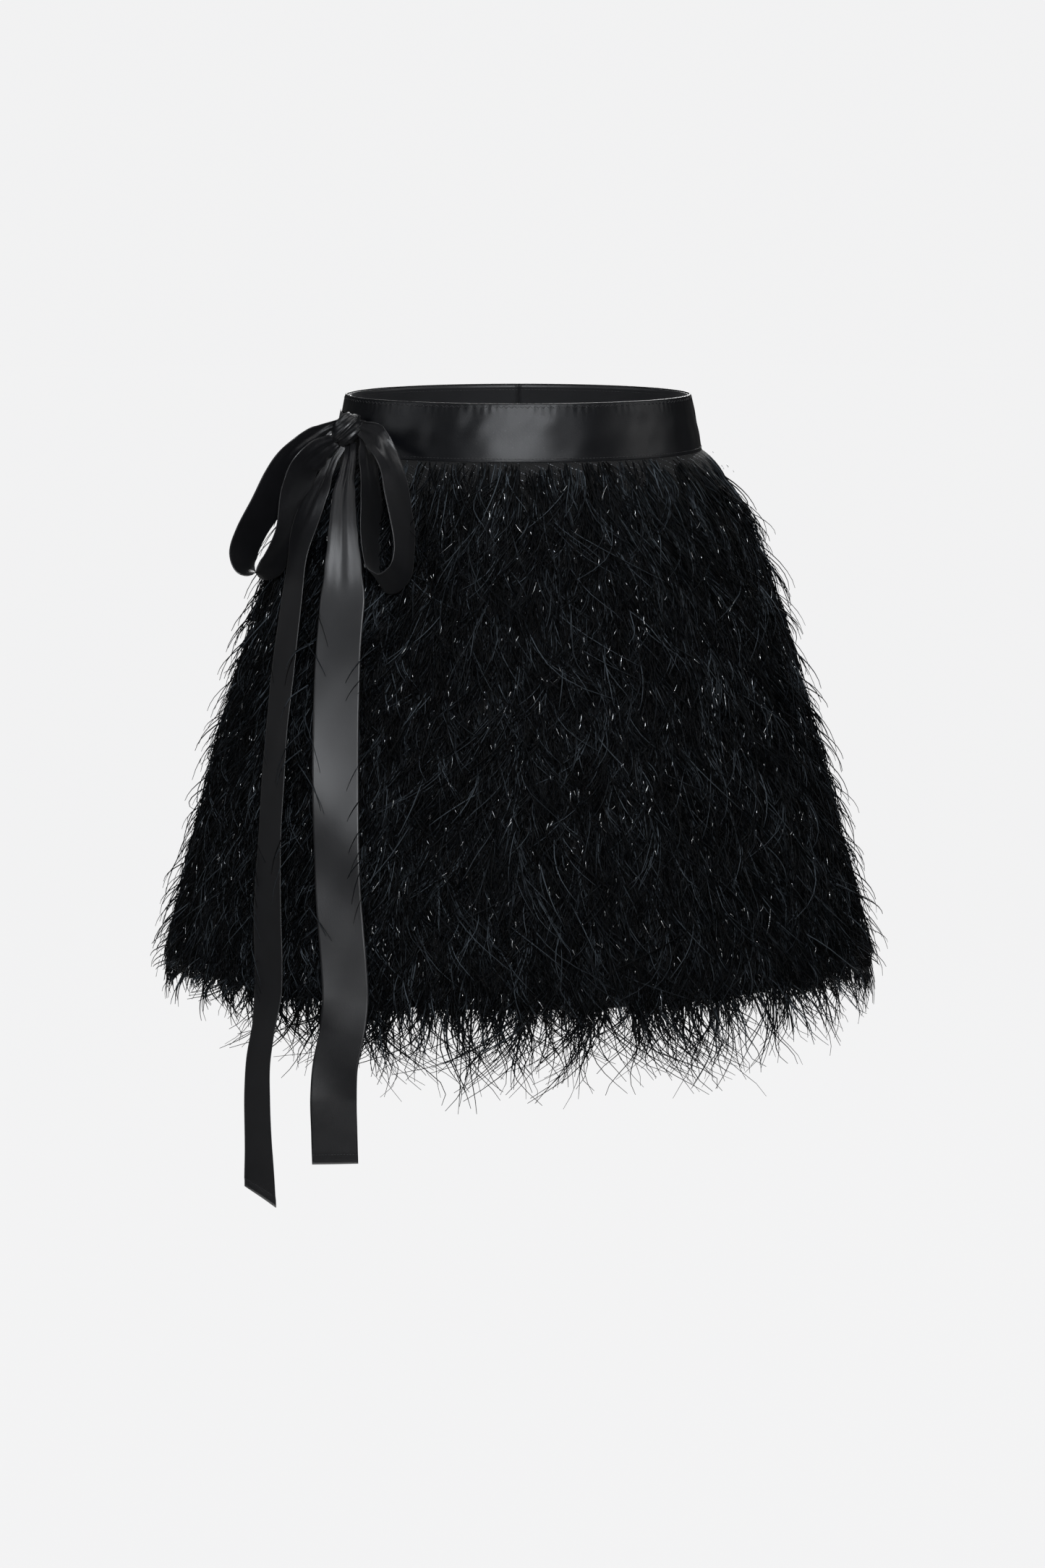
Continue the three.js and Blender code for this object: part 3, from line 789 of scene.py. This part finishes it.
def node_rings(name):
    """Centre and width direction at each ring of a hanging ribbon's solid, from its top down."""
    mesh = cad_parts[name].data
    co = np.array([v.co for v in mesh.vertices], float)
    co = np.unique(np.round(co, 6), axis=0)
    co = co[np.argsort(-co[:, 2])]
    rings = co[: len(co) // 4 * 4].reshape(-1, 4, 3)
    centres = rings.mean(1)
    spread = rings - centres[:, None]
    sideways = np.array([s[np.argmax(np.hypot(s[:, 0], s[:, 1]))] for s in spread])
    sideways = np.where((sideways[:, 0] > 0)[:, None], sideways, -sideways)
    widths = 2 * np.hypot(sideways[:, 0], sideways[:, 1])
    return centres, unit(sideways * [1, 1, 0]), widths


def keyed(even, keys):
    """Values along a run from (place, value) pairs, eased between them."""
    places = np.array([k[0] for k in keys])
    values = np.array([k[1] for k in keys], float)
    span = np.clip(np.searchsorted(places, even, side="right") - 1, 0, len(places) - 2)
    t = np.clip((even - places[span]) / (places[span + 1] - places[span]), 0, 1)
    t = t * t * (3 - 2 * t)
    if values.ndim == 1:
        return values[span] * (1 - t) + values[span + 1] * t
    return values[span] * (1 - t)[:, None] + values[span + 1] * t[:, None]


def hanging_tail(name, node, body, widths, twists, shifts, fold_places, seed, slant):
    centres, sideways, _ = node_rings(node)
    steps = 220
    path, _ = smooth_path(centres, steps)
    share = np.linspace(0, 1, len(centres))
    even = np.linspace(0, 1, steps + 1)
    across = np.stack([np.interp(even, share, sideways[:, i]) for i in range(3)], -1)
    twist = keyed(even, twists) + 0.05 * smooth_noise(even * 14, seed)
    c, s = np.cos(twist), np.sin(twist)
    x, y = across[:, 0], across[:, 1]
    across = np.stack([x * c - y * s, x * s + y * c, across[:, 2]], -1)
    path[:, 0] += keyed(even, shifts) * MM
    width = keyed(even, widths) * MM

    hem_from = 1 - RIBBON_HEM / float(np.linalg.norm(np.diff(path, axis=0), axis=-1).sum())

    def folds(u, v):
        depth = 0.35 * MM * smooth_noise(v * 17 + u * 2, seed + 1) + 0.15 * MM * np.cos(np.pi * u)
        for place, height, reach, lean in fold_places:
            depth = depth + height * np.exp(-(((v - place - lean * u) / reach) ** 2))
        return depth * np.clip(v * 12, 0, 1) + 0.3 * MM * (v > hem_from)

    end = np.clip((even - 0.94) / 0.06, 0, 1)
    cut = end[:, None] * np.linspace(0.5, -0.5, RIBBON_COLUMNS)[None, :] * slant
    ribbon_piece(name, path, across, width, 1.7 * MM, folds, node, body, cut)
    hem_stitches(name, body)


def hem_stitches(name, body):
    """A row of stitches across a tail, above its turned end, on both faces."""
    grid = ribbon_grids[name]
    run = np.concatenate([[0], np.cumsum(np.linalg.norm(np.diff(grid[:, RIBBON_MIDDLE], axis=0), axis=-1))])
    row = int(np.searchsorted(run, run[-1] - RIBBON_HEM)) - 1
    line = grid[row]
    normal = unit(np.cross(line[-1] - line[0], grid[row + 1, RIBBON_MIDDLE] - grid[row, RIBBON_MIDDLE]))
    count = 15
    s = np.linspace(-0.5, 0.5, 5)[None, :]
    place = ((np.arange(count) + 0.5)[:, None] + s * 0.62) / count
    points = line[0] + (line[-1] - line[0]) * place[..., None]
    rise = (RIBBON_THICK / 2 + 0.12 * MM * np.cos(np.pi * s))[..., None]
    share = np.linspace(0, 1, RIBBON_COLUMNS)
    crown = np.stack([np.interp(place, share, line[:, k]) for k in range(3)], -1) - points
    paths = np.concatenate([points + crown + normal * rise, points + crown - normal * rise])
    radii = np.full(paths.shape[:2], 0.16 * MM)
    piece = strand_mesh(name + "_hem_stitches", paths, radii, np.linspace(0, 1, 2 * count), THREAD, sides=4)
    settle(piece, body, None)


hanging_tail(
    "tail_left", "ribbon_tail_left", "tail_left",
    widths=[(0, 10), (0.03, 14), (0.07, 24), (0.14, 33), (0.2, 34), (1, 34)],
    twists=[(0, 0.15), (0.07, 0.15), (0.18, -0.36), (0.7, -0.4), (1, -0.2)],
    shifts=[(0, 0), (0.025, -3.5), (0.1, -3.5), (0.25, -1), (1, 0)],
    fold_places=[(0.3, 0.5 * MM, 0.05, 0.05), (0.62, -0.6 * MM, 0.05, -0.04)], seed=21, slant=9 * MM,
)
hanging_tail(
    "tail_right", "ribbon_tail_right", "tail_right",
    widths=[(0, 8), (0.05, 11), (0.085, 17), (0.12, 20), (0.15, 23), (0.19, 28), (0.24, 34), (1, 34)],
    twists=[(0, 0.2), (0.2, 0.27), (0.45, 0.26), (0.62, 0.12), (0.8, 0.16), (1, 0.3)],
    shifts=[(0, -1.5), (0.08, -3), (0.2, -4.5), (0.4, -4), (1, -5)],
    fold_places=[
        (0.55, -0.8 * MM, 0.05, 0.08), (0.63, 0.6 * MM, 0.045, 0.06), (0.83, -0.8 * MM, 0.05, 0.08),
    ],
    seed=22, slant=-1 * MM,
)


def hanging_loop(name, rim, spans, node, body, depths, seed):
    """A bow loop. rim is its near edge seen from the front, from the knot's centre, in millimetres, and
    spans gives the way and the width, in millimetres, from that edge to the far one along the loop."""
    steps = 170
    near = np.array([[x * MM, 0, z * MM] for x, z in rim]) + KNOT
    near[:, 1] = depths(near)
    path, _ = smooth_path(near, steps)
    even = np.linspace(0, 1, steps + 1)
    reach = keyed(even, spans) * MM
    width = np.linalg.norm(reach, axis=1)
    across = -reach / width[:, None]
    path = path + reach / 2

    def folds(u, v):
        return 0.5 * MM * smooth_noise(v * 14 + u * 3, seed) * np.clip(np.sin(np.pi * v) * 2, 0, 1)

    ribbon_piece(name, path, across, width, 1.5 * MM, folds, node, body)


# The loops' near edges, as places right of and above the knot's centre in millimetres.
LEFT_RIM = [
    (-8, 8), (-22, 4), (-38, -4), (-50, -15), (-59, -28), (-69, -48), (-81, -70), (-86, -86),
    (-83, -97), (-76, -101), (-67, -98), (-60, -88), (-53, -73), (-49, -56),
    (-46, -38), (-38, -19), (-27, -9), (-14, -4), (-7, -3),
]
RIGHT_RIM = [
    (11, -2), (19, -8), (28, -24), (32, -44), (36, -62), (38, -77), (35, -88), (27, -94),
    (19, -91), (15, -80), (13, -64), (13, -46), (13, -28), (12.5, -12), (11, -4),
]
LEFT_SPANS = [
    (0, (1, 5, -8)), (0.1, (8, 12, -14)), (0.28, (22, 24, -10)), (0.5, (18, 27, -9)),
    (0.7, (13, 30, -9)), (0.8, (18, 24, -8)), (0.9, (13, 14, -15)), (0.96, (6, 8, -15)), (1, (2, 5, -11)),
]
RIGHT_SPANS = [
    (0, (-1, 5, 10)), (0.1, (5, 11, 14)), (0.28, (15, 30, 3)), (0.37, (15, 30, -3)),
    (0.46, (12, 26, -16)), (0.54, (8, 26, -19)), (0.66, (12, 30, -9)), (0.75, (14, 30, -4)),
    (0.92, (8, 15, 0)), (1, (5, 8, 0)),
]


def left_depths(near):
    reach = np.clip(np.linalg.norm(near - KNOT, axis=1) / (34 * MM), 0, 1)
    return KNOT[1] - (10 + 16 * reach) * MM * reach


def right_depths(near):
    z = np.minimum(near[:, 2], SKIRT_TOP)
    a, b = girth(z)
    front = -(b + PILE_OUTSIDE) * np.sqrt(1 - np.clip(near[:, 0] / (a + PILE_OUTSIDE), -1, 1) ** 2)
    reach = np.clip(np.linalg.norm((near - KNOT) * [1, 0, 1], axis=1) / (34 * MM), 0, 1)
    ease = reach * reach * (3 - 2 * reach)
    return (KNOT[1] - 8 * MM) * (1 - ease) + (front - 31 * MM) * ease


hanging_loop("loop_left", LEFT_RIM, LEFT_SPANS, "bow_loop_left", "loop_left", left_depths, 41)
hanging_loop("loop_right", RIGHT_RIM, RIGHT_SPANS, "bow_loop_right", "loop_right", right_depths, 42)


def knot_band(name, node, tilt, low, high, radius, thickness, seed):
    """Satin wound round the knot: a shell with creases that run round it."""
    around = np.linspace(0, TAU, 73)
    rise = np.linspace(low, high, 17)[:, None]
    crease = 0.7 * MM * np.sin(rise * 8 + 0.8 * np.sin(around + seed))
    crease = crease + 0.3 * MM * np.sin(rise * 17 + around * 2 + seed)
    r = radius + crease * np.cos(rise * 0.8)
    x = r * np.cos(rise) * np.cos(around)
    y = r * np.cos(rise) * np.sin(around)
    z = r * np.sin(rise) * np.ones_like(around)
    c, s = math.cos(tilt), math.sin(tilt)
    x, z = x * 1.12, z * 0.95
    grid = np.stack([x * c + z * s, y, -x * s + z * c], -1) + KNOT
    size = (float(np.linalg.norm(np.diff(grid[8], axis=0), axis=-1).sum()), radius * (high - low))
    piece = sheet_grid(name, grid, size, RIBBON_SATIN, thickness)
    settle(piece, "skirt", node)


KNOT_TILT = -0.785
knot_band("knot_wrap_upper", "knot_turn_upper", KNOT_TILT, 0.0, 1.15, 11.6 * MM, 0.7 * MM, 1.0)
knot_band("knot_wrap_lower", "knot_turn_lower", KNOT_TILT, -1.15, 0.06, 11.1 * MM, 0.7 * MM, 2.4)
knot_band("knot_inside", "knot_core", KNOT_TILT, -1.4, 1.4, 9.2 * MM, 0.6 * MM, 3.1)


def strands_over(name, count, seed):
    """A few strands of yarn that lie over a tail's edges."""
    grid = ribbon_grids[name]
    rng = np.random.default_rng(seed)
    rows = rng.integers(int(0.2 * len(grid)), int(0.7 * len(grid)), count)
    from_right = rng.uniform(0, 1, count) < 0.5
    edge = np.where(from_right[:, None], grid[rows, -1], grid[rows, 0])
    inward = unit(np.where(from_right[:, None], -1, 1) * (grid[rows, -1] - grid[rows, 0]))
    down = unit(grid[rows + 1, RIBBON_MIDDLE] - grid[rows, RIBBON_MIDDLE])
    normal = unit(np.cross(grid[rows, -1] - grid[rows, 0], down))
    normal = np.where((normal * outward(math.radians(225), HEM)).sum(-1, keepdims=True) < 0, -normal, normal)
    s = np.linspace(0, 1, 9)[None, :, None]
    reach = rng.uniform(16 * MM, 30 * MM, count)[:, None, None]
    fall = rng.uniform(20 * MM, 42 * MM, count)[:, None, None]
    sideways = (s - 0.45) * reach * (1 - 0.35 * s)
    height = np.interp(s, [0, 0.35, 0.7, 1], [-7 * MM, 1.2 * MM, 2.6 * MM, 1.8 * MM])
    paths = edge[:, None] + inward[:, None] * sideways + down[:, None] * (s - 0.4) * fall
    paths = paths + normal[:, None] * height
    radii = strand_radii(rng, count, 9, 0.5 * MM, 0.15 * MM)
    piece = strand_mesh("strands_over_" + name, paths, radii, rng.uniform(0, 0.8, count), YARN)
    settle(piece, "skirt", None)


strands_over("tail_left", 20, 61)
strands_over("tail_right", 16, 62)


def tie_strap():
    low, high = node_box("tie_strap")
    z = np.linspace(float(high[2]), float(low[2]), 18)[:, None]
    start, end = math.radians(183), math.radians(213)
    share = np.linspace(0, 1, 40)[None, :]
    angle = start + (end - start) * share
    middle = (float(high[2]) + float(low[2])) / 2
    squeezed = middle + (z - middle) * (1 - 0.45 * share)
    pleat = 0.5 * MM * np.sin((z - middle) * 900 + 0.4) * share
    bulge = 1.2 * MM * np.sin(np.pi * np.clip(share * 1.1, 0, 1))
    grid = on_skirt(angle, squeezed, BAND_OUTSIDE + 0.9 * MM + pleat + bulge)[:, ::-1]
    size = (float(np.linalg.norm(np.diff(grid[9], axis=0), axis=-1).sum()), float(high[2] - low[2]))
    piece = sheet_grid("strap_to_knot", grid, size, RIBBON_SATIN, 0.6 * MM)
    settle(piece, "skirt", "tie_strap")


tie_strap()

# ---------------------------------------------------------------- stage, light and camera


def area_light(name, place, target, size, power, colour=(1, 1, 1)):
    data = bpy.data.lights.new(name, "AREA")
    data.shape = "RECTANGLE"
    data.size, data.size_y = size
    data.energy = power
    data.color = colour
    light = bpy.data.objects.new(name, data)
    light.location = place
    direction = Vector(target) - Vector(place)
    light.rotation_euler = direction.to_track_quat("-Z", "Y").to_euler()
    light.visible_camera = False
    bpy.context.scene.collection.objects.link(light)


PALE = (0.885, 0.885, 0.89)
SEEN_STRENGTH = 1.0
STUDIO_FILL = 0.065  # the same pale room's strength as light on the object
FLOOR_LEVEL, FLOOR_RADIUS, FLOOR_SIDES = -1.25, 18, 64


def seen_or_lit(tree, socket):
    """Gives a socket one strength as the camera sees it, and another as light on the object."""
    path = tree.nodes.new("ShaderNodeLightPath")
    strength = tree.nodes.new("ShaderNodeMapRange")
    tree.links.new(path.outputs["Is Camera Ray"], strength.inputs["Value"])
    strength.inputs["To Min"].default_value = STUDIO_FILL
    strength.inputs["To Max"].default_value = SEEN_STRENGTH
    tree.links.new(strength.outputs[0], socket)


def stage():
    floor = Nodes("pale_floor")
    floor.set(Base_Color=(0.02, 0.02, 0.02, 1), Roughness=1.0, Specular_IOR_Level=0.0)
    floor.set(Emission_Color=(*PALE, 1))
    seen_or_lit(floor.material.node_tree, floor.shader.inputs["Emission Strength"])
    turn = np.linspace(0, TAU, FLOOR_SIDES + 1)[:-1]
    ring = [(FLOOR_RADIUS * math.cos(t), FLOOR_RADIUS * math.sin(t), FLOOR_LEVEL) for t in turn]
    disc = make_object("floor", ring, [list(range(FLOOR_SIDES))], floor.material)
    world = bpy.data.worlds.new("studio")
    world.use_nodes = True
    tree = world.node_tree
    back = tree.nodes["Background"]
    back.inputs[0].default_value = (*PALE, 1)
    seen_or_lit(tree, back.inputs[1])
    bpy.context.scene.world = world
    area_light("front", (0.12, -2.7, 1.1), (0, 0, -0.2), (0.75, 0.8), 58, (0.93, 0.96, 1.0))
    area_light("left", (-2.3, -1.1, 0.9), (0, 0, -0.3), (0.6, 1.3), 9, (0.93, 0.96, 1.0))
    area_light("right", (2.4, -0.7, 0.9), (0, 0, -0.3), (0.7, 1.4), 12)
    area_light("top", (0.1, -0.2, 2.2), (0, 0, 0), (1.2, 1.2), 10)
    area_light("low", (-0.3, -2.6, -0.6), (-0.1, 0, -0.6), (0.8, 0.4), 4)
    area_light("floor_bounce", (-0.1, 0.1, -1.2), (-0.1, 0, 0), (1.4, 1.2), 9)
    area_light("back", (0.4, 2.6, 1.0), (0, 0, -0.25), (1.2, 1.0), 40)


SENSOR, LENS = 36, 75.18819  # millimetres
CAMERA_PLACE = (0.0033, -2.486, 0.1978)
CAMERA_DOWN = 0.1981  # tilt below level, in radians


def camera():
    data = bpy.data.cameras.new("camera")
    data.sensor_width = SENSOR
    data.lens = LENS
    data.clip_start, data.clip_end = 0.05, 60
    cam = bpy.data.objects.new("camera", data)
    cam.location = CAMERA_PLACE
    cam.rotation_euler = (math.pi / 2 - CAMERA_DOWN, 0, 0)
    bpy.context.scene.collection.objects.link(cam)
    bpy.context.scene.camera = cam


stage()
camera()
bpy.context.scene.view_settings.view_transform = "Standard"
